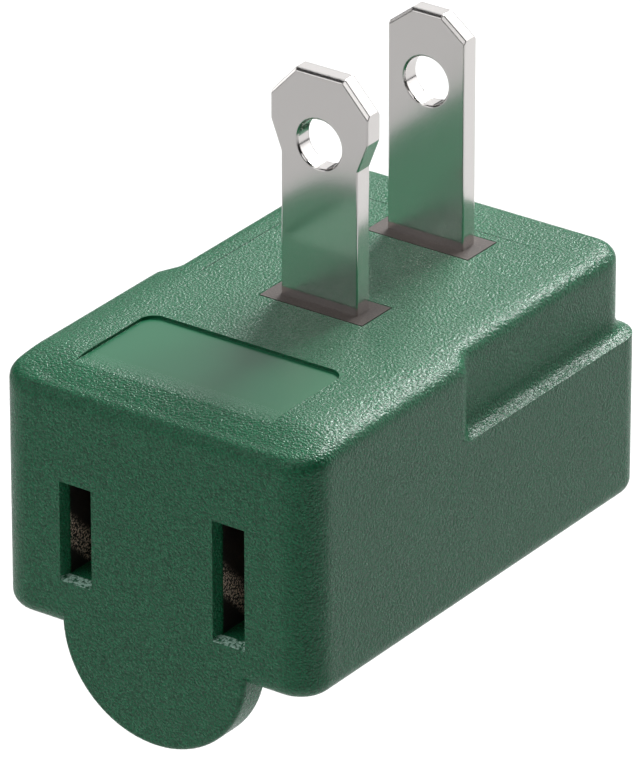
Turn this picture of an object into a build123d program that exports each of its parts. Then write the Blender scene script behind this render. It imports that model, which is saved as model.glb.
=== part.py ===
# Right angle plug adapter: a moulded block with two flat plug blades on top and a two-slot
# socket in its front face, so that a cord leaves at ninety degrees to the wall.
#
# Sizes are in millimetres and +Z is up. The origin is the middle of the plug face, on the face
# itself and halfway between the two blades. +Z runs along the blades, -Y is the way out of the
# socket face, and the hot blade stands behind the neutral one.
import os
from math import radians, tan

from build123d import *

# Outer block, measured from the origin
body_half_width = 13.0
body_front = -26.55
body_back = 13.65
body_height = 18.7
front_corner_radius = 2.5
back_corner_radius = 2.2
bottom_edge_radius = 1.2

# Crown that runs along the top at the front and on both sides
crown_side_drop = 0.5
crown_side_length = 1.9
crown_front_drop = 1.0
crown_front_length = 4.2
crown_radius = 9.0
crown_edge_radius = 0.9

# Step cut into both flanks and the back, behind the neutral blade, above a sloping ledge
step_depth = 1.05
step_back_depth = 0.3
step_ramp_front = -8.3
step_ramp_back = -7.0
step_root_radius = 0.9
step_ramp_radius = 1.2
upper_corner_radius = 2.6
ledge_edge_z = -6.35
ledge_tilt = 24.0
ledge_root_radius = 0.8
ledge_overhang = 2.0

# Half-round finger flange below the socket face
flange_centre_rise = 0.83
flange_radius = 7.65
flange_neck = 2.0
flange_thickness = 2.65
flange_edge_radius = 0.35

# Bare recess in the top, ahead of the neutral blade
recess_left = -8.7
recess_right = 7.6
recess_margin = 1.0
recess_back = -14.65
recess_depth = 0.22
recess_corner_radius = 1.2

# Flat blades of the plug, in the usual two-pole spacing
blade_spacing = 12.7
blade_width = 6.3
blade_thickness = 1.45
blade_hole_z = 12.0
blade_hole_radius = 1.8
blade_tip = 17.2
blade_bevel = 0.22
blade_edge_radius = 0.08
hot_tip_half_width = 1.26
hot_shoulder_z = 15.74
neutral_head_width = 8.0
neutral_tip_half_width = 2.0
neutral_shoulder_z = 15.05
neutral_head_bottom = 12.95
neutral_neck_z = 10.75

# Slots of the socket: the hot one is narrow, the neutral one is wide
slot_spacing = 12.7
slot_width = 2.16
slot_centre_rise = 7.33
hot_slot_height = 7.0
neutral_slot_height = 8.56
slot_bevel_depth = 0.76
slot_bevel_width = 0.24
sill_height = 0.5

# Hard inner core: carrier with bosses in the plug face, slot plate in front and lid below
front_wall = 0.9
back_wall = 1.65
top_wall = 1.15
bottom_wall = 1.1
boss_length = 8.5
boss_width = 3.45
window_bevel = 0.09
carrier_corner_radius = 1.5
lid_thickness = 1.0
post_gap = 0.45
post_length = 1.4
post_width = 3.4
slot_plate_thickness = 2.6
ceiling_z = -4.4
pocket_wall = 1.1
pocket_clearance = 0.35

# Spring contacts, each folded from one strip
strip = 0.6
bend_radius = 0.8
leaf_height = 6.0
leaf_open_half_gap = 1.35
leaf_pinch_half_gap = 0.55
leaf_flare_half_gap = 1.45
leaf_front_gap = 0.3
leaf_pinch_depth = 2.35
leaf_straight = 4.5
web_half_width = 1.25
strap_half_width = 2.7
tang_width = 3.0
peen_width = 3.7
peen_thickness = 2.2
peen_height = 0.6

# How far a cut runs past the faces that it opens
overcut = 1.0

half_spacing = blade_spacing / 2
half_slots = slot_spacing / 2
flange_centre_z = -body_height + flange_centre_rise
slot_centre_z = -body_height + slot_centre_rise
recess_front = body_front + recess_margin

leaf_outer = leaf_open_half_gap + strip
pocket_inner = half_slots - leaf_outer - pocket_clearance
pocket_outer = half_slots + leaf_outer + pocket_clearance
pad_reach = strap_half_width + pocket_clearance

# The core and the soft block share the wall beside the pockets evenly where the flank is stepped
carrier_half_width = (pocket_outer + body_half_width - step_depth) / 2
carrier_front = body_front + front_wall
carrier_back = body_back - back_wall
carrier_top = -top_wall
carrier_bottom = -body_height + bottom_wall + lid_thickness
lid_bottom = carrier_bottom - lid_thickness
post_inner = peen_width / 2 + post_gap
chamber_front = carrier_front + slot_plate_thickness

strap_bottom = ceiling_z - strip
leaf_front = chamber_front + leaf_front_gap
leaf_pinch_y = leaf_front + leaf_pinch_depth
web_back = strap_half_width - half_spacing
web_front = web_back - strip


def block(x0, x1, y0, y1, z0, z1):
    """Return a box between two opposite corners."""
    centre = Location(((x0 + x1) / 2, (y0 + y1) / 2, (z0 + z1) / 2))
    return centre * Box(x1 - x0, y1 - y0, z1 - z0)


def edges_at(shape, axis, value, along=None, tolerance=0.02):
    """Return the edges of a shape that lie on one coordinate plane."""
    found = shape.edges().filter_by_position(axis, value - tolerance, value + tolerance)
    if along is not None:
        found = found.filter_by(along)
    return found


def crown():
    """Return a plain block whose top falls away softly at the front and on both sides."""
    shape = block(-body_half_width, body_half_width, body_front, body_back, -body_height, 0)
    top = shape.faces().sort_by(Axis.Z)[-1]
    front_edge = top.edges().sort_by(Axis.Y)[0]
    shape = chamfer(front_edge, length=crown_front_length, length2=crown_front_drop, reference=top)
    top = shape.faces().sort_by(Axis.Z)[-1]
    side_edges = top.edges().filter_by(Axis.Y)
    shape = chamfer(side_edges, length=crown_side_length, length2=crown_side_drop, reference=top)

    # The slopes run into the flat top, and into each other, without a crease
    top = shape.faces().sort_by(Axis.Z)[-1]
    creases = top.edges().sort_by(Axis.Y)[:-1]
    mitres = [edge for edge in shape.edges() if abs(edge.tangent_at(0).X * edge.tangent_at(0).Y) > 0.01]
    creases += mitres
    return fillet(creases, crown_radius)


def plan_corners(sketch, y, radius):
    """Round the corners of a plan outline that lie at one distance along Y."""
    corners = sketch.vertices().filter_by_position(Axis.Y, y - 0.01, y + 0.01)
    return fillet(corners, radius)


def block_outline():
    """Return the outline of the block in plan, below the ledge."""
    middle = (body_back + body_front) / 2
    whole = Pos(0, middle) * Rectangle(2 * body_half_width, body_back - body_front)
    whole = plan_corners(whole, body_front, front_corner_radius)
    return plan_corners(whole, body_back, back_corner_radius)


def waisted_outline():
    """Return the outline of the block in plan, above the ledge, with its ramps."""
    narrow = body_half_width - step_depth
    short = body_back - step_back_depth
    right = [
        (0, body_front),
        (body_half_width, body_front),
        (body_half_width, step_ramp_front),
        (narrow, step_ramp_back),
        (narrow, short),
        (0, short),
    ]
    half = make_face(Polyline(*right, close=True))
    waisted = half + mirror(half, about=Plane.YZ)
    waisted = plan_corners(waisted, step_ramp_back, step_root_radius)
    waisted = plan_corners(waisted, step_ramp_front, step_ramp_radius)
    return plan_corners(waisted, short, upper_corner_radius)


def ledge_cutter():
    """Return the space above the sloping ledge, with the round that forms the ledge's root."""
    steepness = tan(radians(ledge_tilt))
    reach = 2 * step_depth + ledge_overhang
    top = ledge_edge_z + 2 * step_depth * steepness
    slope = extrude(offset(block_outline(), ledge_overhang), body_height)
    slope = Pos(0, 0, top - body_height) * slope
    slope = chamfer(slope.faces().sort_by(Axis.Z)[-1].edges(), length=reach * steepness, length2=reach)
    far = body_half_width + ledge_overhang
    space = block(-far, far, body_front / 2, body_back + ledge_overhang, top - reach * steepness, overcut)
    space -= Pos(0, 0, -body_height) * extrude(waisted_outline(), 2 * body_height)
    space -= slope
    walls = [face for face in space.faces() if is_upright(face) and is_inner(face)]
    roots = [edge for wall in walls for edge in wall.edges() if edge.bounding_box().max.Z < top]
    return fillet(roots, ledge_root_radius)


def is_upright(face):
    """Tell whether a face stands upright."""
    return abs(face.normal_at().Z) < 0.01


def is_inner(face):
    """Tell whether an upright face lies on the block and not on the far side of the space round it."""
    middle = face.center()
    return abs(middle.X) <= body_half_width and body_front / 2 < middle.Y < body_back


def stepped_block():
    """Return the crowned block with the steps in its flanks, and all its long edges rounded."""
    whole = Pos(0, 0, -body_height) * extrude(block_outline(), body_height)
    whole = fillet(whole.faces().sort_by(Axis.Z)[0].edges(), bottom_edge_radius)
    shape = (crown() & whole) - ledge_cutter()
    return fillet(rim_edges(shape), crown_edge_radius)


def rim_edges(shape):
    """Return the upper edges of the upright walls, all the way round the block."""
    upright = [face for face in shape.faces() if is_upright(face)]
    edges = [edge for face in upright for edge in face.edges()]
    lowest = -2 * crown_front_drop
    return ShapeList(edge for edge in edges if edge.bounding_box().min.Z > lowest)


def finger_flange():
    """Return the half-round flange that hangs below the socket face, flush with it."""
    width = 2 * flange_radius
    disc = Pos(0, flange_centre_z) * Circle(flange_radius)
    lower_half = Pos(0, flange_centre_z - flange_radius / 2) * Rectangle(width, flange_radius)
    neck = Pos(0, flange_centre_z + flange_neck / 2) * Rectangle(width, flange_neck)
    tongue = (disc & lower_half) + neck
    solid = Pos(0, body_front, 0) * extrude(Plane.XZ * tongue, -flange_thickness)
    rims = edges_at(solid, Axis.Y, body_front) + edges_at(solid, Axis.Y, body_front + flange_thickness)
    neck_top = flange_centre_z + flange_neck
    free = ShapeList(edge for edge in rims if edge.bounding_box().min.Z < neck_top - flange_edge_radius)
    return fillet(free, flange_edge_radius)


def slots(front, back, deeper=0.0):
    """Return the two blade slots of the socket, or the same slots with lower floors."""
    cuts = []
    for side, height in ((-1, hot_slot_height), (1, neutral_slot_height)):
        left = side * half_slots - slot_width / 2
        low = slot_centre_z - height / 2
        cuts.append(block(left, left + slot_width, front, back, low - deeper, low + height))
    return cuts[0] + cuts[1]


def slot_sills():
    """Return the two strips of soft plastic that line the floors of the slots."""
    return slots(carrier_front, chamber_front, sill_height) - slots(carrier_front, chamber_front)


def core(bottom, top):
    """Return a slab of the inner core, with its four upright corners rounded."""
    length = carrier_back - carrier_front
    middle = (carrier_back + carrier_front) / 2
    outline = Pos(0, middle) * RectangleRounded(2 * carrier_half_width, length, carrier_corner_radius)
    return Pos(0, 0, bottom) * extrude(outline, top - bottom)


def front_slab(bottom, top):
    """Return the space of the slot plate, out to the sides of the core."""
    return block(-carrier_half_width, carrier_half_width, carrier_front, chamber_front, bottom, top)


def bosses(bottom, top):
    """Return the two raised pads that carry the blades through the plug face."""
    pads = [
        Pos(0, y, bottom) * extrude(Rectangle(boss_length, boss_width), top - bottom)
        for y in (-half_spacing, half_spacing)
    ]
    return pads[0] + pads[1]


def label_recess():
    """Return the shallow pocket in the top that fades out where the crown falls below its floor."""
    middle = ((recess_left + recess_right) / 2, (recess_front + recess_back) / 2)
    outline = Pos(*middle) * Rectangle(recess_right - recess_left, recess_back - recess_front)
    outline = plan_corners(outline, recess_back, recess_corner_radius)
    return Pos(0, 0, -recess_depth) * extrude(outline, recess_depth + overcut)


def hole_rims(face):
    """Return the edges of the holes in a flat face."""
    return ShapeList(edge for rim in face.inner_wires() for edge in rim.edges())


def outer_body():
    """Return the moulded outer block, open inside where it wraps the hard core."""
    shape = stepped_block() + finger_flange()
    shape -= label_recess()
    shape -= slots(body_front - overcut, carrier_front + overcut)
    face = shape.faces().filter_by(Plane.XZ).sort_by(Axis.Y)[0]
    shape = chamfer(hole_rims(face), length=slot_bevel_width, length2=slot_bevel_depth, reference=face)
    shape -= core(lid_bottom, carrier_top)
    shape += slot_sills()
    shape -= bosses(carrier_top - overcut, overcut)
    plug_face = shape.faces().filter_by(Plane.XY).sort_by(Axis.Z)[-1]
    return chamfer(hole_rims(plug_face), window_bevel)


def contact_pocket(side):
    """Return the room for one folded contact, open towards the lid."""
    blade_y = -side * half_spacing
    front = chamber_front - overcut
    x0, x1 = sorted((side * pocket_inner, side * pocket_outer))
    leaves = block(x0, x1, front, blade_y + pad_reach, carrier_bottom, ceiling_z)
    x0, x1 = sorted((-side * pad_reach, side * pocket_outer))
    pad = block(x0, x1, blade_y - pad_reach, blade_y + pad_reach, carrier_bottom, ceiling_z)
    return leaves + pad


def coring():
    """Return the hollows that keep the walls of the hard core even."""
    near = pocket_inner - pocket_wall
    padded = pad_reach + pocket_wall
    front_start = chamber_front + pocket_wall
    front_end = -half_spacing - padded
    front = block(-near, near, front_start, front_end, carrier_bottom, ceiling_z)
    rear_start = -half_spacing + padded
    rear_end = half_spacing - padded
    middle = block(-near, pocket_outer, rear_start, rear_end, carrier_bottom, ceiling_z)
    corner_end = half_spacing + pad_reach
    rear = block(padded, pocket_outer, rear_start, corner_end, carrier_bottom, ceiling_z)
    return front + middle + rear


def contact_carrier():
    """Return the hard moulding that holds the blades and houses the contacts."""
    shape = core(carrier_bottom, carrier_top) - front_slab(carrier_bottom, carrier_top)
    shape += bosses(carrier_top, 0)
    shape -= contact_pocket(-1) + contact_pocket(1)
    shape -= coring()
    half_width = blade_width / 2
    half_thickness = blade_thickness / 2
    for y in (-half_spacing, half_spacing):
        front = y - half_thickness
        back = y + half_thickness
        shape -= block(-half_width, half_width, front, back, ceiling_z - overcut, overcut)
    return shape


def slot_plate():
    """Return the plate in front of the pockets, with the two slots that guide a plug in."""
    shape = core(carrier_bottom, carrier_top) & front_slab(carrier_bottom, carrier_top)
    return shape - slots(carrier_front - overcut, chamber_front + overcut, sill_height)


def carrier_lid():
    """Return the lid that closes the hard core and props both contact straps."""
    shape = core(lid_bottom, carrier_bottom)
    root = (lid_bottom + carrier_bottom) / 2
    for side in (-1, 1):
        x0, x1 = sorted((side * post_inner, side * (post_inner + post_length)))
        y = -side * half_spacing
        shape += block(x0, x1, y - post_width / 2, y + post_width / 2, root, strap_bottom)
    return shape


def broad_edges(shape, low, high):
    """Return the straight edges of a blade's two broad faces between two heights."""
    edges = edges_at(shape, Axis.Y, -blade_thickness / 2) + edges_at(shape, Axis.Y, blade_thickness / 2)
    return ShapeList(edge for edge in edges.filter_by(GeomType.LINE) if low < edge.center().Z < high)


def blade(y, right_side):
    """Return one plug blade from the right half of its outline, with its riveted tang."""
    half_width = blade_width / 2
    half_tang = tang_width / 2
    foot = [(0, strap_bottom), (half_tang, strap_bottom), (half_tang, ceiling_z), (half_width, ceiling_z)]
    outline = make_face(Polyline(*foot, *right_side, (0, blade_tip), close=True))
    outline += mirror(outline, about=Plane.YZ)
    shape = Pos(0, blade_thickness / 2, 0) * extrude(Plane.XZ * outline, blade_thickness)
    shape = chamfer(broad_edges(shape, neutral_shoulder_z, blade_tip + overcut), blade_bevel)
    hole = Pos(0, 0, blade_hole_z) * Rot(90, 0, 0) * Cylinder(blade_hole_radius, 2 * blade_thickness)
    shape -= hole
    rims = ShapeList(edge for edge in shape.edges() if edge.geom_type == GeomType.CIRCLE)
    shape = chamfer(rims, blade_bevel / 2)
    shape = fillet(broad_edges(shape, 0, neutral_shoulder_z), blade_edge_radius)
    half_peen = peen_width / 2
    half_head = peen_thickness / 2
    head_bottom = strap_bottom - peen_height
    head = block(-half_peen, half_peen, -half_head, half_head, head_bottom, strap_bottom)
    head = fillet(head.faces().sort_by(Axis.Z)[0].edges(), peen_height / 2)
    return Pos(0, y, 0) * (shape + head)


def neutral_blade():
    """Return the front blade, whose head is wider than its shank."""
    half_width = blade_width / 2
    half_head = neutral_head_width / 2
    return blade(
        -half_spacing,
        [
            (half_width, neutral_neck_z),
            (half_head, neutral_head_bottom),
            (half_head, neutral_shoulder_z),
            (neutral_tip_half_width, blade_tip),
        ],
    )


def hot_blade():
    """Return the rear blade, which is straight up to its bevelled tip."""
    return blade(half_spacing, [(blade_width / 2, hot_shoulder_z), (hot_tip_half_width, blade_tip)])


def spring_leaves(side):
    """Return the pair of leaves and the web that joins them, bent from one upright strip."""
    half = strip / 2
    middle = side * half_slots
    flare = leaf_flare_half_gap + half
    pinch = leaf_pinch_half_gap + half
    wide = leaf_open_half_gap + half
    web = web_front + half
    bend = web - leaf_straight
    left = [(-flare, leaf_front), (-pinch, leaf_pinch_y), (-wide, bend), (-wide, web)]
    right = [(-x, y) for x, y in reversed(left)]
    path = FilletPolyline(*left, *right, radius=bend_radius)
    section = make_face(path.wire().offset_2d(half, kind=Kind.ARC, side=Side.BOTH, closed=True))
    leaves = extrude(section, leaf_height)
    return Pos(middle, 0, slot_centre_z - leaf_height / 2) * leaves


def contact(side):
    """Return one contact: strap under the blade, web, and two leaves behind the slot."""
    middle = side * half_slots
    blade_y = -side * half_spacing
    x0, x1 = sorted((-side * strap_half_width, middle + side * leaf_outer))
    strap = block(x0, x1, blade_y - strap_half_width, blade_y + strap_half_width, strap_bottom, ceiling_z)
    if side < 0:
        # The hot blade stands further back, so its strap reaches forward over the web
        left = middle - leaf_outer
        right = middle + leaf_outer
        strap += block(left, right, web_front, blade_y, strap_bottom, ceiling_z)
    left = middle - web_half_width
    right = middle + web_half_width
    web = block(left, right, web_front, web_back, slot_centre_z, ceiling_z)
    shape = strap + web + spring_leaves(side)

    # The tang of the blade passes through the strap and is riveted over below it
    half_tang = tang_width / 2
    front = blade_y - blade_thickness / 2
    back = blade_y + blade_thickness / 2
    bottom = strap_bottom - overcut
    return shape - block(-half_tang, half_tang, front, back, bottom, ceiling_z + overcut)


def main():
    """Write one STEP file for each part of the adapter."""
    os.makedirs("parts", exist_ok=True)
    nodes = {
        "outer_body": outer_body(),
        "contact_carrier": contact_carrier(),
        "slot_plate": slot_plate(),
        "carrier_lid": carrier_lid(),
        "neutral_blade": neutral_blade(),
        "hot_blade": hot_blade(),
        "neutral_contact": contact(1),
        "hot_contact": contact(-1),
    }
    for name, shape in nodes.items():
        print(name, round(shape.volume, 2), len(shape.solids()), shape.is_valid)
        export_step(shape, "parts/" + name + ".step")


if __name__ == "__main__":
    main()
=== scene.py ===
"""Finishes, studio and camera for the right angle plug adapter.

The moulded parts, the blades and the contacts come in as solids in one shared
frame. Each sub-assembly below is a class that dresses its own solids, and each
finish is a class that holds its values. In the finishes, lengths and places are
in millimetres, counted from the middle of the plug face.
"""
import logging
import math
from dataclasses import dataclass, field
from enum import Enum
from typing import Optional, Union

import bmesh
import bpy
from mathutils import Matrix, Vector


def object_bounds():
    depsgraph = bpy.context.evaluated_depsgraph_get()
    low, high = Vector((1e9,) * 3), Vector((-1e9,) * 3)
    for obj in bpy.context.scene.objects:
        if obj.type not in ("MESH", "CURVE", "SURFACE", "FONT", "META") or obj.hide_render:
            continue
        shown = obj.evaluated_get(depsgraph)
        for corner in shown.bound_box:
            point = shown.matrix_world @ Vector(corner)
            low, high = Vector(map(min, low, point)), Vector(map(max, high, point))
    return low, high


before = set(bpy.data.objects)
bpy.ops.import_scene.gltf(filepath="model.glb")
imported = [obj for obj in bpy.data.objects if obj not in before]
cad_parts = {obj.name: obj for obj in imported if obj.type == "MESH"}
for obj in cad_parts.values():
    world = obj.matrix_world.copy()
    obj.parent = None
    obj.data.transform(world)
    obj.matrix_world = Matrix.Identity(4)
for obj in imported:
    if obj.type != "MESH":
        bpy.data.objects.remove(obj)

CAD_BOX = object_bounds()

MM = 0.001
WHITE = (1.0, 1.0, 1.0, 1.0)

log = logging.getLogger("adapter")

Colour = tuple[float, float, float]
Value = Union[float, bpy.types.NodeSocket]

# The value where a mask is 0, and then the value where it is 1
Range = tuple[float, float]


class Slot(Enum):
    """Material slots that the adapter's record names."""

    GREEN_SHELL = "green_shell"
    BROWN_CORE = "brown_core"
    NICKEL_PLATE = "nickel_plate"
    CONTACT_BRASS = "contact_brass"


class Socket(Enum):
    """Kinds of socket that a shader node group may show."""

    FLOAT = "NodeSocketFloat"
    VECTOR = "NodeSocketVector"


# Shader graphs and the effects that several finishes share


@dataclass
class Graph:
    """A thin hand on a node tree, which adds nodes and joins them."""

    tree: bpy.types.NodeTree

    def node(self, kind: str, **settings: object) -> bpy.types.Node:
        """Add one node.

        Args:
            kind: Short name of the node's type, without the ShaderNode prefix.
            **settings: Properties to set on the node.

        Returns:
            The new node.
        """
        made = self.tree.nodes.new("ShaderNode" + kind)
        for name, value in settings.items():
            setattr(made, name, value)
        return made

    def feed(self, socket: bpy.types.NodeSocket, value: object) -> None:
        """Link a socket into an input, or set the input to a plain value.

        Args:
            socket: The input to feed.
            value: An output socket, a number or a tuple of numbers.
        """
        if isinstance(value, bpy.types.NodeSocket):
            self.tree.links.new(value, socket)
        else:
            socket.default_value = value

    def math(
        self, operation: str, first: Value, second: Value = 0.0, clamp: bool = False
    ) -> bpy.types.NodeSocket:
        """Work out one step of arithmetic.

        Args:
            operation: Name of the operation, such as MULTIPLY.
            first: First operand.
            second: Second operand.
            clamp: Whether the result is held between 0 and 1.

        Returns:
            The result.
        """
        made = self.node("Math", operation=operation, use_clamp=clamp)
        self.feed(made.inputs[0], first)
        self.feed(made.inputs[1], second)
        return made.outputs[0]

    def product(self, first: Value, *others: Value) -> bpy.types.NodeSocket:
        """Multiply values, such as masks that all have to hold.

        Args:
            first: The first value.
            *others: The values that it is multiplied by.

        Returns:
            The product.
        """
        for other in others:
            first = self.math("MULTIPLY", first, other)
        return first

    def largest(self, first: Value, *others: Value) -> bpy.types.NodeSocket:
        """Return the largest of some values, such as masks that are laid together.

        Args:
            first: The first value.
            *others: The values that it is compared with.

        Returns:
            The largest value.
        """
        for other in others:
            first = self.math("MAXIMUM", first, other)
        return first

    def distance(self, value: Value, middle: float) -> bpy.types.NodeSocket:
        """Return how far a value lies from a middle, on either side."""
        return self.math("ABSOLUTE", self.math("SUBTRACT", value, middle))

    def scaled(self, vector: bpy.types.NodeSocket, scale: Value) -> bpy.types.NodeSocket:
        """Multiply a vector by one number.

        Args:
            vector: The vector.
            scale: The number.

        Returns:
            The longer or shorter vector.
        """
        made = self.node("VectorMath", operation="SCALE")
        self.feed(made.inputs[0], vector)
        self.feed(made.inputs["Scale"], scale)
        return made.outputs[0]

    def ramp(self, value: Value, start: Value, end: Value) -> bpy.types.NodeSocket:
        """Turn a value into a smooth step.

        Args:
            value: The value to map.
            start: Where the result is 0.
            end: Where the result is 1, above or below the start.

        Returns:
            A socket between 0 and 1.
        """
        made = self.node("MapRange", interpolation_type="SMOOTHSTEP")
        self.feed(made.inputs["Value"], value)
        self.feed(made.inputs["From Min"], start)
        self.feed(made.inputs["From Max"], end)
        return made.outputs["Result"]

    def spread(self, value: Value, low: Value, high: Value) -> bpy.types.NodeSocket:
        """Spread a value from 0 to 1 out between two others.

        Args:
            value: The value to spread.
            low: The result where the value is 0.
            high: The result where the value is 1.

        Returns:
            The result.
        """
        made = self.node("MapRange", interpolation_type="LINEAR")
        self.feed(made.inputs["Value"], value)
        self.feed(made.inputs["To Min"], low)
        self.feed(made.inputs["To Max"], high)
        return made.outputs["Result"]

    def blend(self, share: Value, first: object, second: object) -> bpy.types.NodeSocket:
        """Mix two colours.

        Args:
            share: Share of the second colour, from 0 to 1.
            first: A colour, or a socket that gives one.
            second: A colour, or a socket that gives one.

        Returns:
            The mixed colour.
        """
        made = self.node("Mix", data_type="RGBA")
        self.feed(made.inputs["Factor"], share)
        self.feed(made.inputs["A"], rgba(first))
        self.feed(made.inputs["B"], rgba(second))
        return made.outputs["Result"]

    def toned(self, colour: bpy.types.NodeSocket, factor: Value) -> bpy.types.NodeSocket:
        """Make a colour lighter or darker.

        Args:
            colour: The colour.
            factor: What its three channels are multiplied by.

        Returns:
            The toned colour.
        """
        grey = self.node("CombineColor")
        for channel in ("Red", "Green", "Blue"):
            self.feed(grey.inputs[channel], factor)
        made = self.node("Mix", data_type="RGBA", blend_type="MULTIPLY")
        self.feed(made.inputs["Factor"], 1.0)
        self.feed(made.inputs["A"], colour)
        self.feed(made.inputs["B"], grey.outputs[0])
        return made.outputs["Result"]

    def noise(self, place: bpy.types.NodeSocket, scale: Value, detail: float) -> bpy.types.Node:
        """Add a soft cloudy noise.

        Args:
            place: The position that it is read at.
            scale: How many clouds there are to a unit of length.
            detail: How many finer layers lie over the first.

        Returns:
            The noise node.
        """
        made = self.node("TexNoise")
        self.feed(made.inputs["Vector"], place)
        self.feed(made.inputs["Scale"], scale)
        self.feed(made.inputs["Detail"], detail)
        return made

    def group(self, tree: bpy.types.NodeTree, **values: object) -> bpy.types.Node:
        """Place a node group and feed its inputs.

        Args:
            tree: The group's own tree.
            **values: Inputs by name, with underscores for spaces.

        Returns:
            The group node.
        """
        made = self.node("Group")
        made.node_tree = tree
        for name, value in values.items():
            self.feed(made.inputs[name.replace("_", " ")], value)
        return made


def rgba(colour: object) -> object:
    """Return a colour with alpha, or leave a socket as it is."""
    return (*colour, 1.0) if isinstance(colour, tuple) and len(colour) == 3 else colour


@dataclass
class EffectGroup:
    """A shader effect that several finishes share, built once as a node group."""

    name: str
    inputs: dict[str, Socket]
    outputs: tuple[str, ...]
    tree: bpy.types.NodeTree = field(init=False)

    def __post_init__(self) -> None:
        """Make the empty group with its named sockets."""
        self.tree = bpy.data.node_groups.new(self.name, "ShaderNodeTree")
        sockets = [(name, "INPUT", kind) for name, kind in self.inputs.items()]
        sockets += [(name, "OUTPUT", Socket.FLOAT) for name in self.outputs]
        for name, way, kind in sockets:
            self.tree.interface.new_socket(name, in_out=way, socket_type=kind.value)

    def open(self) -> tuple[Graph, bpy.types.Node, bpy.types.Node]:
        """Open the group to fill it.

        Returns:
            The group's graph, its input node and its output node.
        """
        start = self.tree.nodes.new("NodeGroupInput")
        end = self.tree.nodes.new("NodeGroupOutput")
        return Graph(self.tree), start, end


@dataclass(frozen=True)
class MouldedGrain:
    """The pebbled grain of a spark-eroded mould, with noises scaled to one pebble."""

    warp_scale: float = 0.7
    warp_detail: float = 1.0
    warp_push: float = 0.9
    pebble_smoothness: float = 0.6
    fine_scale: float = 1.9
    fine_detail: float = 2.0
    pit_height: Range = (0.62, 0.3)
    speck_scale: float = 1.8
    speck_detail: float = 1.0
    speck_tone: Range = (0.38, 0.62)

    def build(self) -> bpy.types.NodeTree:
        """Build the effect.

        Returns:
            A group that turns a position in millimetres into a height, its pits and fine specks.
        """
        effect = EffectGroup(
            "moulded_grain",
            {"Position": Socket.VECTOR, "Cell Size": Socket.FLOAT, "Fine Share": Socket.FLOAT},
            ("Height", "Pits", "Specks"),
        )
        graph, start, end = effect.open()
        per_cell = graph.math("DIVIDE", 1.0, start.outputs["Cell Size"])
        place = graph.scaled(start.outputs["Position"], per_cell)

        warp = graph.noise(place, self.warp_scale, self.warp_detail)
        pushed = graph.node("VectorMath", operation="MULTIPLY_ADD")
        graph.feed(pushed.inputs[0], warp.outputs["Color"])
        graph.feed(pushed.inputs[1], (self.warp_push,) * 3)
        graph.feed(pushed.inputs[2], place)
        pebbles = graph.node("TexVoronoi", feature="SMOOTH_F1")
        graph.feed(pebbles.inputs["Vector"], pushed.outputs[0])
        graph.feed(pebbles.inputs["Scale"], 1.0)
        graph.feed(pebbles.inputs["Smoothness"], self.pebble_smoothness)
        mounds = graph.math("SUBTRACT", 1.0, pebbles.outputs["Distance"], clamp=True)

        fine = graph.noise(place, self.fine_scale, self.fine_detail)
        share = start.outputs["Fine Share"]
        coarse_part = graph.product(mounds, graph.math("SUBTRACT", 1.0, share))
        fine_part = graph.product(fine.outputs["Fac"], share)
        height = graph.math("ADD", coarse_part, fine_part)
        specks = graph.noise(place, self.speck_scale, self.speck_detail)

        graph.feed(end.inputs["Height"], height)
        graph.feed(end.inputs["Pits"], graph.ramp(height, *self.pit_height))
        graph.feed(end.inputs["Specks"], graph.ramp(specks.outputs["Fac"], *self.speck_tone))
        return effect.tree


@dataclass(frozen=True)
class CloudyTone:
    """The slow change of tone that every moulded or rolled surface has."""

    detail: float = 3.0

    def build(self) -> bpy.types.NodeTree:
        """Build the effect.

        Returns:
            A group that turns a position in millimetres into a factor near 1.
        """
        effect = EffectGroup(
            "cloudy_tone",
            {"Position": Socket.VECTOR, "Patch Size": Socket.FLOAT, "Amount": Socket.FLOAT},
            ("Factor",),
        )
        graph, start, end = effect.open()
        per_patch = graph.math("DIVIDE", 1.0, start.outputs["Patch Size"])
        cloud = graph.noise(start.outputs["Position"], per_patch, self.detail)
        centred = graph.math("SUBTRACT", cloud.outputs["Fac"], 0.5)
        swing = graph.product(centred, graph.product(start.outputs["Amount"], 2.0))
        graph.feed(end.inputs["Factor"], graph.math("ADD", swing, 1.0))
        return effect.tree


@dataclass(frozen=True)
class RolledLines:
    """The faint drawn-out lines that rolling leaves along a metal strip."""

    detail: float = 2.0
    line_tone: Range = (0.58, 0.72)

    def build(self) -> bpy.types.NodeTree:
        """Build the effect.

        Returns:
            A group that turns a position in millimetres into a height and a mask.
        """
        effect = EffectGroup(
            "rolled_lines",
            {"Position": Socket.VECTOR, "Line Width": Socket.FLOAT, "Stretch": Socket.FLOAT},
            ("Height", "Mask"),
        )
        graph, start, end = effect.open()
        split = graph.node("SeparateXYZ")
        graph.feed(split.inputs[0], start.outputs["Position"])
        along = graph.math("DIVIDE", split.outputs["Z"], start.outputs["Stretch"])
        squeezed = graph.node("CombineXYZ")
        for axis, value in (("X", split.outputs["X"]), ("Y", split.outputs["Y"]), ("Z", along)):
            graph.feed(squeezed.inputs[axis], value)
        per_line = graph.math("DIVIDE", 1.0, start.outputs["Line Width"])
        lines = graph.noise(squeezed.outputs[0], per_line, self.detail)
        graph.feed(end.inputs["Height"], lines.outputs["Fac"])
        graph.feed(end.inputs["Mask"], graph.ramp(lines.outputs["Fac"], *self.line_tone))
        return effect.tree


@dataclass
class EffectShelf:
    """The shared effects, each built once."""

    grain: bpy.types.NodeTree = field(default_factory=MouldedGrain().build)
    tone: bpy.types.NodeTree = field(default_factory=CloudyTone().build)
    lines: bpy.types.NodeTree = field(default_factory=RolledLines().build)


# Surfaces and the places on the block that differ from the rest


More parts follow.
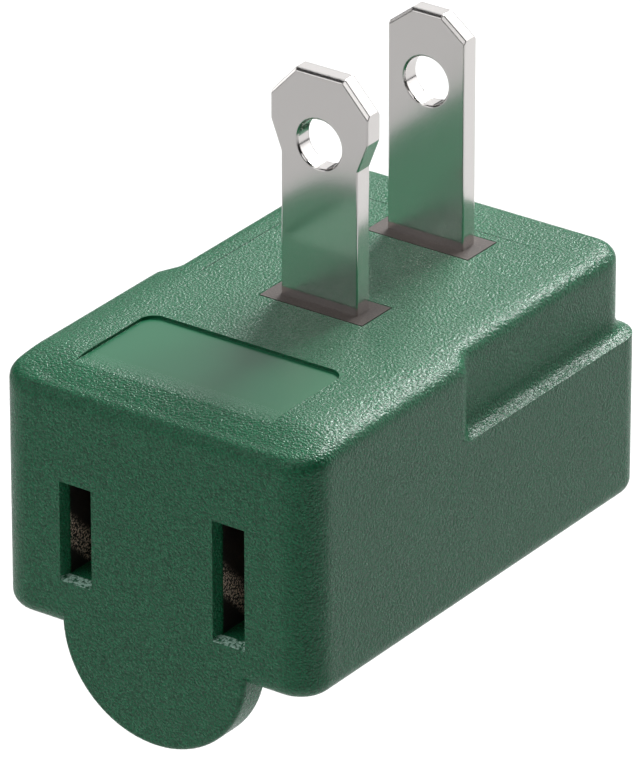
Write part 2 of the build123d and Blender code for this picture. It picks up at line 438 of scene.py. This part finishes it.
@dataclass
class Surface:
    """A new material with its shader, its output and a position in millimetres."""

    name: str
    material: bpy.types.Material = field(init=False)
    graph: Graph = field(init=False)
    shader: bpy.types.Node = field(init=False)
    place: bpy.types.NodeSocket = field(init=False)

    def __post_init__(self) -> None:
        """Make the material and its basic nodes."""
        self.material = bpy.data.materials.new(self.name)
        self.material.use_nodes = True
        self.graph = Graph(self.material.node_tree)
        self.graph.tree.nodes.clear()
        self.shader = self.graph.node("BsdfPrincipled")
        output = self.graph.node("OutputMaterial")
        self.graph.feed(output.inputs["Surface"], self.shader.outputs[0])
        coordinates = self.graph.node("TexCoord")
        self.place = self.graph.scaled(coordinates.outputs["Object"], 1 / MM)

    def axes(self) -> tuple[bpy.types.NodeSocket, bpy.types.NodeSocket, bpy.types.NodeSocket]:
        """Take the position apart.

        Returns:
            Its X, Y and Z in millimetres.
        """
        split = self.graph.node("SeparateXYZ")
        self.graph.feed(split.inputs[0], self.place)
        return split.outputs["X"], split.outputs["Y"], split.outputs["Z"]

    def softened(self, radius: Value, rays: int = 8) -> bpy.types.NodeSocket:
        """Blend the normal across edges.

        Args:
            radius: How far the blend reaches, in metres.
            rays: How many rays look for the edges.

        Returns:
            The softened normal.
        """
        made = self.graph.node("Bevel", samples=rays)
        self.graph.feed(made.inputs["Radius"], radius)
        return made.outputs[0]

    def bump(
        self,
        height: Value,
        distance: float,
        strength: float = 1.0,
        normal: Optional[bpy.types.NodeSocket] = None,
    ) -> None:
        """Press a height map into the shader's normal.

        Args:
            height: Height from 0 to 1.
            distance: Depth that the height stands for, in millimetres.
            strength: Share of the relief that shows.
            normal: The normal under the relief, if it isn't the surface's own.
        """
        made = self.graph.node("Bump")
        self.graph.feed(made.inputs["Height"], height)
        self.graph.feed(made.inputs["Distance"], distance * MM)
        self.graph.feed(made.inputs["Strength"], strength)
        if normal is not None:
            self.graph.feed(made.inputs["Normal"], normal)
        self.graph.feed(self.shader.inputs["Normal"], made.outputs[0])


@dataclass(frozen=True)
class RoundRim:
    """The rounded rim of the top, all the way round."""

    radius: float = 1.1
    side: Range = (9.2, 10.2)
    front: Range = (-23.0, -24.0)
    back: Range = (10.4, 11.4)
    height: Range = (-4.2, -2.8)

    def mask(self, surface: Surface) -> bpy.types.NodeSocket:
        """Find the rim.

        Args:
            surface: The material that needs to know.

        Returns:
            1 along the rim and 0 elsewhere.
        """
        graph = surface.graph
        x, y, z = surface.axes()
        side = graph.ramp(graph.math("ABSOLUTE", x), *self.side)
        front, back = graph.ramp(y, *self.front), graph.ramp(y, *self.back)
        return graph.product(graph.largest(side, front, back), graph.ramp(z, *self.height))


@dataclass(frozen=True)
class PolishedRecess:
    """The smooth floor of the recess in the top, which fades out towards its front."""

    left: Range = (-8.7, -8.67)
    right: Range = (7.6, 7.57)
    back: Range = (-14.65, -14.68)
    front: Range = (-23.4, -21.2)
    height: Range = (-2.0, -1.0)

    def mask(self, surface: Surface) -> bpy.types.NodeSocket:
        """Find the floor of the recess.

        Args:
            surface: The material that needs to know.

        Returns:
            1 on the smooth floor and 0 elsewhere.
        """
        graph = surface.graph
        x, y, z = surface.axes()
        across = graph.ramp(x, *self.left), graph.ramp(x, *self.right)
        along = graph.ramp(y, *self.back), graph.ramp(y, *self.front)
        return graph.product(graph.ramp(z, *self.height), *across, *along)


@dataclass(frozen=True)
class WitnessLine:
    """The hairline that the mould's insert leaves left of the blades and behind them."""

    colour: Colour = (0.006, 0.035, 0.018)
    darkness: float = 0.6
    dip: float = 1.2
    side_place: float = -9.74
    side_front: Range = (-7.55, -7.25)
    side_back: Range = (8.88, 8.85)
    back_place: float = 8.85
    back_left: Range = (-9.77, -9.74)
    back_right: Range = (9.74, 0.0)
    thickness: Range = (0.048, 0.018)
    height: Range = (-0.6, -0.4)

    def mask(self, surface: Surface) -> bpy.types.NodeSocket:
        """Find the line.

        Args:
            surface: The material that needs to know.

        Returns:
            1 on the line and 0 elsewhere.
        """
        graph = surface.graph
        x, y, z = surface.axes()
        side = graph.ramp(graph.distance(x, self.side_place), *self.thickness)
        side = graph.product(side, graph.ramp(y, *self.side_back))
        back = graph.ramp(graph.distance(y, self.back_place), *self.thickness)
        ends = graph.ramp(x, *self.back_left), graph.ramp(x, *self.back_right)
        line = graph.largest(side, graph.product(back, *ends))
        return graph.product(line, graph.ramp(y, *self.side_front), graph.ramp(z, *self.height))


@dataclass(frozen=True)
class PaintedSillHighlight:
    """Painted highlight: pale colour on the bevelled sill at the front of each of the two slots.
    """

    # Colour of the painted highlight, which stands in for the light on the sill
    colour: Colour = (0.46, 0.70, 0.59)
    middles: tuple[tuple[float, float], ...] = ((-6.35, -14.99), (6.35, -15.77))
    aside: Range = (1.35, 1.25)
    above: Range = (0.16, 0.13)
    depth: Range = (-25.75, -25.85)
    grain: Range = (0.35, 0.6)

    def mask(self, surface: Surface, grain: bpy.types.NodeSocket) -> bpy.types.NodeSocket:
        """Find the grains of each slot's sill that get the painted highlight.

        Args:
            surface: The material that needs to know.
            grain: The height of the grain.

        Returns:
            1 on those grains and 0 elsewhere.
        """
        graph = surface.graph
        x, y, z = surface.axes()
        sill_highlight = [
            graph.product(
                graph.ramp(graph.distance(x, across), *self.aside),
                graph.ramp(graph.distance(z, height), *self.above),
            )
            for across, height in self.middles
        ]
        near = graph.ramp(y, *self.depth)
        return graph.product(graph.largest(*sill_highlight), near, graph.ramp(grain, *self.grain))


@dataclass(frozen=True)
class SlotShadeAndGlints:
    """Painted shade and painted glints on the core inside the slots.

    The core is coloured nearly black there, standing in for shade, with a band of pale
    specks low down, standing in for glints of light. The band drops by its lean for each
    millimetre further in.
    """

    # Colour of the painted shade inside the slots
    colour: Colour = (0.020, 0.017, 0.015)
    inside: Range = (-6.0, -7.0)
    # Colour of the painted glints, pale specks low in the slots
    speck_colour: Colour = (0.98, 0.80, 0.65)
    speck_size: float = 0.17
    fine_share: float = 0.6
    speck_height: Range = (0.49, 0.57)
    glint_band_top: Range = (-11.2, -12.4)
    glint_band_bottom: Range = (-14.4, -13.6)
    glint_band_lean: float = 1.0
    glint_band_middle: float = -24.35

    def coat(
        self, surface: Surface, shelf: EffectShelf, colour: bpy.types.NodeSocket
    ) -> bpy.types.NodeSocket:
        """Lay the painted shade and the painted glints of the slots over a colour.

        Args:
            surface: The material that the colour is for.
            shelf: The shared effects.
            colour: The colour outside the slots.

        Returns:
            The colour inside and outside the slots.
        """
        graph = surface.graph
        y, z = surface.axes()[1:]
        grain = graph.group(
            shelf.grain,
            Position=surface.place,
            Cell_Size=self.speck_size,
            Fine_Share=self.fine_share,
        )
        # Painted glints: a band of pale specks low in the slots, dropping further in
        inwards = graph.math("SUBTRACT", y, self.glint_band_middle)
        level = graph.math("ADD", z, graph.product(inwards, self.glint_band_lean))
        specks = graph.product(
            graph.ramp(level, *self.glint_band_top),
            graph.ramp(level, *self.glint_band_bottom),
            graph.ramp(grain.outputs["Height"], *self.speck_height),
        )
        # Painted shade: nearly black inside the slots, with the painted glints over it
        colour = graph.blend(graph.ramp(z, *self.inside), colour, self.colour)
        return graph.blend(specks, colour, self.speck_colour)


# Finishes


@dataclass(frozen=True)
class GrainedPlastic:
    """Soft green plastic with a pebbled grain, smooth where the mould was polished."""

    colour: Colour = (0.0222, 0.207, 0.094)
    # Colour of the painted shade in the grain's pits
    pit_shade_colour: Colour = (0.0055, 0.050, 0.022)
    pit_shade_share: float = 0.2
    speck_share: float = 0.65
    smooth_share: float = 0.28
    roughness: float = 0.30
    roughness_swing: float = 0.12
    smooth_roughness: float = 0.27
    ior: float = 1.42
    grain_size: float = 0.19
    grain_depth: float = 0.09
    fine_share: float = 0.4
    patch_size: float = 7.0
    patch_swing: float = 0.06
    rim: RoundRim = RoundRim()
    recess: PolishedRecess = PolishedRecess()
    line: WitnessLine = WitnessLine()
    sill_highlight: PaintedSillHighlight = PaintedSillHighlight()

    def build(self, shelf: EffectShelf) -> bpy.types.Material:
        """Make the material.

        Args:
            shelf: The shared effects.

        Returns:
            The finished material.
        """
        surface = Surface(Slot.GREEN_SHELL.value)
        graph, shader = surface.graph, surface.shader
        grain = graph.group(
            shelf.grain,
            Position=surface.place,
            Cell_Size=self.grain_size,
            Fine_Share=self.fine_share,
        )
        height, specks = grain.outputs["Height"], grain.outputs["Specks"]
        smooth = self.recess.mask(surface)
        grained = graph.math("SUBTRACT", 1.0, smooth)
        line = self.line.mask(surface)

        # Painted shade darkens the grain's pits; real specks of tone darken too, and the smooth
        # recess by a fixed share
        dark = graph.product(grain.outputs["Pits"], self.pit_shade_share)
        dark = graph.math("ADD", dark, graph.product(specks, self.speck_share))
        dark = graph.spread(grained, self.smooth_share, dark)
        colour = graph.blend(dark, self.colour, self.pit_shade_colour)
        colour = graph.blend(graph.product(line, self.line.darkness), colour, self.line.colour)
        # Painted highlight: pale colour on the grains of the slot sill, standing in for light
        colour = graph.blend(self.sill_highlight.mask(surface, height), colour, self.sill_highlight.colour)
        tone = graph.group(
            shelf.tone,
            Position=surface.place,
            Patch_Size=self.patch_size,
            Amount=self.patch_swing,
        )
        graph.feed(shader.inputs["Base Color"], graph.toned(colour, tone.outputs["Factor"]))

        low, high = self.roughness - self.roughness_swing, self.roughness + self.roughness_swing
        rough = graph.spread(smooth, graph.spread(specks, low, high), self.smooth_roughness)
        graph.feed(shader.inputs["Roughness"], rough)
        graph.feed(shader.inputs["IOR"], self.ior)

        relief = graph.product(height, grained)
        relief = graph.math("SUBTRACT", relief, graph.product(line, self.line.dip))
        reach = graph.product(self.rim.mask(surface), self.rim.radius * MM)
        surface.bump(relief, self.grain_depth, normal=surface.softened(reach))
        return surface.material


@dataclass(frozen=True)
class SpeckledPlastic:
    """Hard brown plastic, matt and lightly speckled."""

    colour: Colour = (0.088, 0.072, 0.064)
    speck_colour: Colour = (0.16, 0.12, 0.105)
    speck_share: float = 0.4
    speck_height: Range = (0.52, 0.68)
    speck_size: float = 0.16
    speck_depth: float = 0.02
    speck_strength: float = 0.8
    fine_share: float = 0.6
    roughness: float = 0.6
    speck_roughness: float = 0.5
    patch_size: float = 3.0
    patch_swing: float = 0.12
    slot_shade_and_glints: SlotShadeAndGlints = SlotShadeAndGlints()

    def build(self, shelf: EffectShelf) -> bpy.types.Material:
        """Make the material.

        Args:
            shelf: The shared effects.

        Returns:
            The finished material.
        """
        surface = Surface(Slot.BROWN_CORE.value)
        graph, shader = surface.graph, surface.shader
        grain = graph.group(
            shelf.grain,
            Position=surface.place,
            Cell_Size=self.speck_size,
            Fine_Share=self.fine_share,
        )
        tone = graph.group(
            shelf.tone,
            Position=surface.place,
            Patch_Size=self.patch_size,
            Amount=self.patch_swing,
        )
        specks = graph.ramp(grain.outputs["Height"], *self.speck_height)
        share = graph.product(specks, graph.product(tone.outputs["Factor"], self.speck_share))
        colour = graph.blend(share, self.colour, self.speck_colour)
        # Inside the slots, painted shade and painted glints lie over the speckled colour
        graph.feed(shader.inputs["Base Color"], self.slot_shade_and_glints.coat(surface, shelf, colour))
        rough = graph.spread(specks, self.roughness, self.speck_roughness)
        graph.feed(shader.inputs["Roughness"], rough)
        surface.bump(grain.outputs["Height"], self.speck_depth, self.speck_strength)
        return surface.material


@dataclass(frozen=True)
class BrightPlate:
    """Bright plating over rolled strip, almost a mirror."""

    slot: Slot = Slot.NICKEL_PLATE
    colour: Colour = (0.76, 0.735, 0.72)
    line_tone: float = 0.8
    line_share: float = 0.06
    roughness: float = 0.13
    haze: float = 0.05
    cloud_haze: float = 0.5
    line_haze: float = 0.5
    line_width: float = 0.09
    line_stretch: float = 40.0
    line_depth: float = 0.0006
    line_strength: float = 0.5
    patch_size: float = 4.0
    patch_swing: float = 0.5
    edge_radius: float = 0.12

    def build(self, shelf: EffectShelf) -> bpy.types.Material:
        """Make the material.

        Args:
            shelf: The shared effects.

        Returns:
            The finished material.
        """
        surface = Surface(self.slot.value)
        graph, shader = surface.graph, surface.shader
        lines = graph.group(
            shelf.lines,
            Position=surface.place,
            Line_Width=self.line_width,
            Stretch=self.line_stretch,
        )
        tone = graph.group(
            shelf.tone,
            Position=surface.place,
            Patch_Size=self.patch_size,
            Amount=self.patch_swing,
        )
        graph.feed(shader.inputs["Metallic"], 1.0)
        worn = graph.product(lines.outputs["Mask"], self.line_share)
        darker = tuple(channel * self.line_tone for channel in self.colour)
        graph.feed(shader.inputs["Base Color"], graph.blend(worn, self.colour, darker))

        cloudy = graph.math("SUBTRACT", tone.outputs["Factor"], 1.0 - self.patch_swing, clamp=True)
        lined = graph.product(lines.outputs["Mask"], self.line_haze)
        hazy = graph.math("ADD", graph.product(cloudy, self.cloud_haze), lined)
        rough = graph.spread(hazy, self.roughness, self.roughness + self.haze)
        graph.feed(shader.inputs["Roughness"], rough)
        rounded = surface.softened(self.edge_radius * MM)
        surface.bump(lines.outputs["Height"], self.line_depth, self.line_strength, rounded)
        return surface.material


Finish = Union[GrainedPlastic, SpeckledPlastic, BrightPlate]


# Sub-assemblies


@dataclass(frozen=True)
class SubAssembly:
    """Some solids of the adapter, which share one finish."""

    solids: tuple[str, ...]
    finish: Finish

    def build(self, shelf: EffectShelf) -> None:
        """Dress the solids.

        Args:
            shelf: The shared effects.
        """
        material = self.finish.build(shelf)
        for name in self.solids:
            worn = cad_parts[name].data.materials
            worn.clear()
            worn.append(material)
            log.info("%s: %s", name, material.name)


@dataclass(frozen=True)
class Overmould(SubAssembly):
    """The soft green block that wraps the hard core."""

    solids: tuple[str, ...] = ("outer_body",)
    finish: Finish = GrainedPlastic()


@dataclass(frozen=True)
class HardCore(SubAssembly):
    """The brown core: carrier, slot plate and lid."""

    solids: tuple[str, ...] = ("contact_carrier", "slot_plate", "carrier_lid")
    finish: Finish = SpeckledPlastic()


@dataclass(frozen=True)
class PlugBlades(SubAssembly):
    """The two flat blades."""

    solids: tuple[str, ...] = ("neutral_blade", "hot_blade")
    finish: Finish = BrightPlate()


@dataclass(frozen=True)
class SpringContacts(SubAssembly):
    """The two folded contacts inside the core."""

    solids: tuple[str, ...] = ("neutral_contact", "hot_contact")
    finish: Finish = BrightPlate(
        slot=Slot.CONTACT_BRASS, colour=(0.72, 0.50, 0.22), roughness=0.28, haze=0.12
    )


# Studio and camera


@dataclass(frozen=True)
class SoftBox:
    """A rectangular soft light that looks at the adapter.

    Angles are in degrees, the bearing counted from +Y towards +X. Sizes are in metres.
    """

    name: str
    bearing: float
    height_angle: float
    width: float
    height: float
    radiance: float
    distance: float = 1.0

    def place(self) -> None:
        """Hang the light."""
        lamp = bpy.data.lights.new(self.name, "AREA")
        lamp.shape = "RECTANGLE"
        lamp.size = self.width
        lamp.size_y = self.height
        lamp.energy = self.radiance * self.width * self.height * math.pi
        made = bpy.data.objects.new(self.name, lamp)
        bearing, rise = math.radians(self.bearing), math.radians(self.height_angle)
        ahead, up = math.cos(rise), math.sin(rise)
        out = Vector((math.sin(bearing) * ahead, math.cos(bearing) * ahead, up))
        made.location = out * self.distance
        made.rotation_euler = out.to_track_quat("Z", "Y").to_euler()
        made.visible_camera = False
        bpy.context.scene.collection.objects.link(made)


@dataclass(frozen=True)
class Studio:
    """Plain pale floor, even surroundings and a few large soft lights.

    Sizes are in metres, apart from the scale of the paper's tone, which is per millimetre.
    """

    floor_drop: float = 0.085
    floor_size: float = 12.0
    floor_squares: int = 8
    paper_tone: float = 0.63
    paper_lift: float = 1.01
    paper_scale: float = 0.02
    paper_detail: float = 2.0
    paper_roughness: float = 0.9
    paper_glow: float = 0.3
    surround: float = 0.02
    backdrop: float = 1.0
    lights: tuple[SoftBox, ...] = (
        SoftBox("back_key", -5.0, 40.0, 0.45, 0.30, 31.0),
        SoftBox("back_left_sheet", -40.0, 24.0, 0.6, 0.6, 1.0),
        SoftBox("back_right_sheet", 31.0, 20.0, 0.44, 0.8, 1.6),
        SoftBox("front_left_sheet", -145.0, 26.0, 0.6, 0.6, 1.6),
        SoftBox("front_left_top", -130.0, 72.0, 0.6, 0.6, 2.0),
        SoftBox("edge_right", 148.0, 36.0, 0.36, 0.36, 1.2),
        SoftBox("edge_left", -86.0, 3.0, 0.3, 0.3, 1.4),
    )

    def paper(self) -> bpy.types.Material:
        """Make the floor's material, which the camera sees lit up evenly, as in a light tent.

        Returns:
            The material.
        """
        surface = Surface("studio_paper")
        graph, shader = surface.graph, surface.shader
        cloud = graph.noise(surface.place, self.paper_scale, self.paper_detail)
        sheet, lighter = (self.paper_tone,) * 3, (self.paper_tone * self.paper_lift,) * 3
        paper = graph.blend(cloud.outputs["Fac"], sheet, lighter)
        graph.feed(shader.inputs["Base Color"], paper)
        graph.feed(shader.inputs["Roughness"], self.paper_roughness)
        seen = graph.node("LightPath").outputs["Is Camera Ray"]
        graph.feed(shader.inputs["Emission Color"], WHITE)
        graph.feed(shader.inputs["Emission Strength"], graph.product(seen, self.paper_glow))
        return surface.material

    def floor(self) -> None:
        """Lay the floor."""
        mesh = bpy.data.meshes.new("studio_floor")
        shape = bmesh.new()
        squares, half = self.floor_squares, self.floor_size / 2
        bmesh.ops.create_grid(shape, x_segments=squares, y_segments=squares, size=half)
        shape.to_mesh(mesh)
        shape.free()
        mesh.materials.append(self.paper())
        made = bpy.data.objects.new("studio_floor", mesh)
        made.location.z = CAD_BOX[0].z - self.floor_drop
        bpy.context.scene.collection.objects.link(made)

    def surroundings(self) -> None:
        """Set the even light that comes from everywhere, and a white backdrop."""
        world = bpy.data.worlds.new("studio_air")
        world.use_nodes = True
        graph = Graph(world.node_tree)
        graph.tree.nodes.clear()
        mixed = graph.node("MixShader")
        graph.feed(mixed.inputs[0], graph.node("LightPath").outputs["Is Camera Ray"])
        for socket, strength in zip(mixed.inputs[1:], (self.surround, self.backdrop)):
            air = graph.node("Background")
            graph.feed(air.inputs["Color"], WHITE)
            graph.feed(air.inputs["Strength"], strength)
            graph.feed(socket, air.outputs[0])
        output = graph.node("OutputWorld")
        graph.feed(output.inputs["Surface"], mixed.outputs[0])
        bpy.context.scene.world = world

    def build(self) -> None:
        """Set up floor, surroundings and lights."""
        self.surroundings()
        self.floor()
        for light in self.lights:
            light.place()
        log.info("studio: floor and %d lights", len(self.lights))


@dataclass(frozen=True)
class PhotoCamera:
    """The camera, set up where the photograph was taken from.

    The location and the reach are in metres, the lens and the sensor in millimetres.
    """

    location: tuple[float, float, float] = (0.31220, -0.44913, 0.26171)
    tilt: float = 63.708
    turn: float = 35.225
    lens: float = 418.86
    sensor: float = 36.0
    reach: float = 50.0

    def build(self) -> None:
        """Make the camera and look through it."""
        data = bpy.data.cameras.new("photo_camera")
        data.lens = self.lens
        data.sensor_width = self.sensor
        data.sensor_fit = "AUTO"
        data.clip_end = self.reach
        made = bpy.data.objects.new("photo_camera", data)
        made.location = self.location
        made.rotation_euler = (math.radians(self.tilt), 0.0, math.radians(self.turn))
        bpy.context.scene.collection.objects.link(made)
        bpy.context.scene.camera = made
        log.info("camera: lens %.1f mm", self.lens)


def main() -> None:
    """Dress the adapter, piece by piece, and set up the studio round it."""
    logging.basicConfig(level=logging.INFO, format="%(name)s: %(message)s")
    bpy.context.scene.view_settings.view_transform = "Standard"
    shelf = EffectShelf()
    for part in (Overmould(), HardCore(), PlugBlades(), SpringContacts()):
        part.build(shelf)
    Studio().build()
    PhotoCamera().build()


if __name__ == "__main__":
    main()
